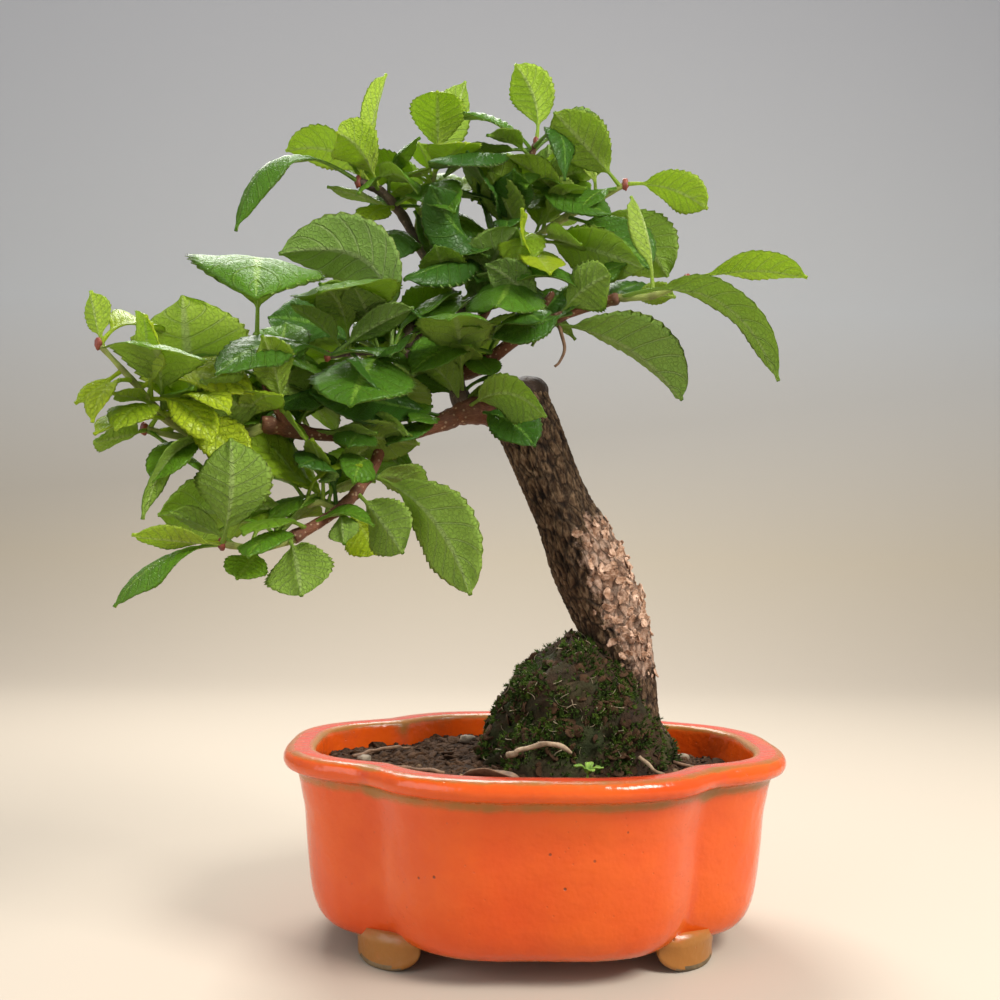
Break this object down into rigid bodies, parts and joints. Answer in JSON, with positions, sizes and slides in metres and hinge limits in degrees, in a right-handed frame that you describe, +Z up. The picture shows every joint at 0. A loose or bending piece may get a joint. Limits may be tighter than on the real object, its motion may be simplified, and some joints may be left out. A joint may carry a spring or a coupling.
{
  "type": "bonsai tree in a pot",
  "caption": "Small broad-leaved bonsai with a leaning chopped trunk, mossy root mound and long leafy branches, in a glazed four-lobed footed pot.",
  "frame": {"origin": "on the table, under the middle of the pot's four feet", "axes": "+Z up, X along the pot's length, -Y the front; the trunk leans towards -X"},
  "size_m": [0.1996, 0.1346, 0.2734],
  "materials": {
    "glaze": "gloss",
    "soil": "matte",
    "screen": "matte",
    "moss": "matte",
    "bark": "matte",
    "wound_paste": "satin",
    "brown_twig": "satin",
    "old_wood": "matte",
    "green_shoot": "satin",
    "leaf": "satin"
  },
  "bodies": {
    "root": {"pot": "glaze", "soil": "soil", "drain_screen_right": "screen", "drain_screen_left": "screen", "trunk": "bark", "main_branch": "brown_twig", "left_shoot": "green_shoot", "young_shoot": "green_shoot", "upright_branchlet": "brown_twig", "lower_branch": "brown_twig", "lower_shoot": "green_shoot", "centre_stem": "old_wood", "old_stub": "old_wood", "left_twig": "old_wood", "right_branch": "brown_twig", "right_tip": "green_shoot", "crown_stem": "old_wood", "upper_right": "green_shoot", "top_left": "green_shoot", "leaf_right_1": "leaf", "leaf_right_2": "leaf", "leaf_right_3": "leaf", "leaf_right_4": "leaf", "leaf_right_5": "leaf", "leaf_right_6": "leaf", "leaf_right_7": "leaf", "leaf_right_8": "leaf", "leaf_right_9": "leaf", "leaf_crown_1": "leaf", "leaf_crown_2": "leaf", "leaf_crown_3": "leaf", "leaf_crown_4": "leaf", "leaf_crown_5": "leaf", "leaf_crown_6": "leaf", "leaf_crown_7": "leaf", "leaf_middle_1": "leaf", "leaf_middle_2": "leaf", "leaf_middle_3": "leaf", "leaf_middle_4": "leaf", "leaf_middle_5": "leaf", "leaf_middle_6": "leaf", "leaf_middle_7": "leaf", "leaf_upper_left_1": "leaf", "leaf_upper_left_2": "leaf", "leaf_upper_left_3": "leaf", "leaf_upper_left_4": "leaf", "leaf_left_1": "leaf", "leaf_left_2": "leaf", "leaf_left_3": "leaf", "leaf_left_4": "leaf", "leaf_left_5": "leaf", "leaf_low_1": "leaf", "leaf_low_2": "leaf", "leaf_low_3": "leaf", "leaf_low_4": "leaf", "leaf_middle_8": "leaf", "wound_paste_cap": "wound_paste", "moss_mound": "moss"}
  },
  "joints": []
}
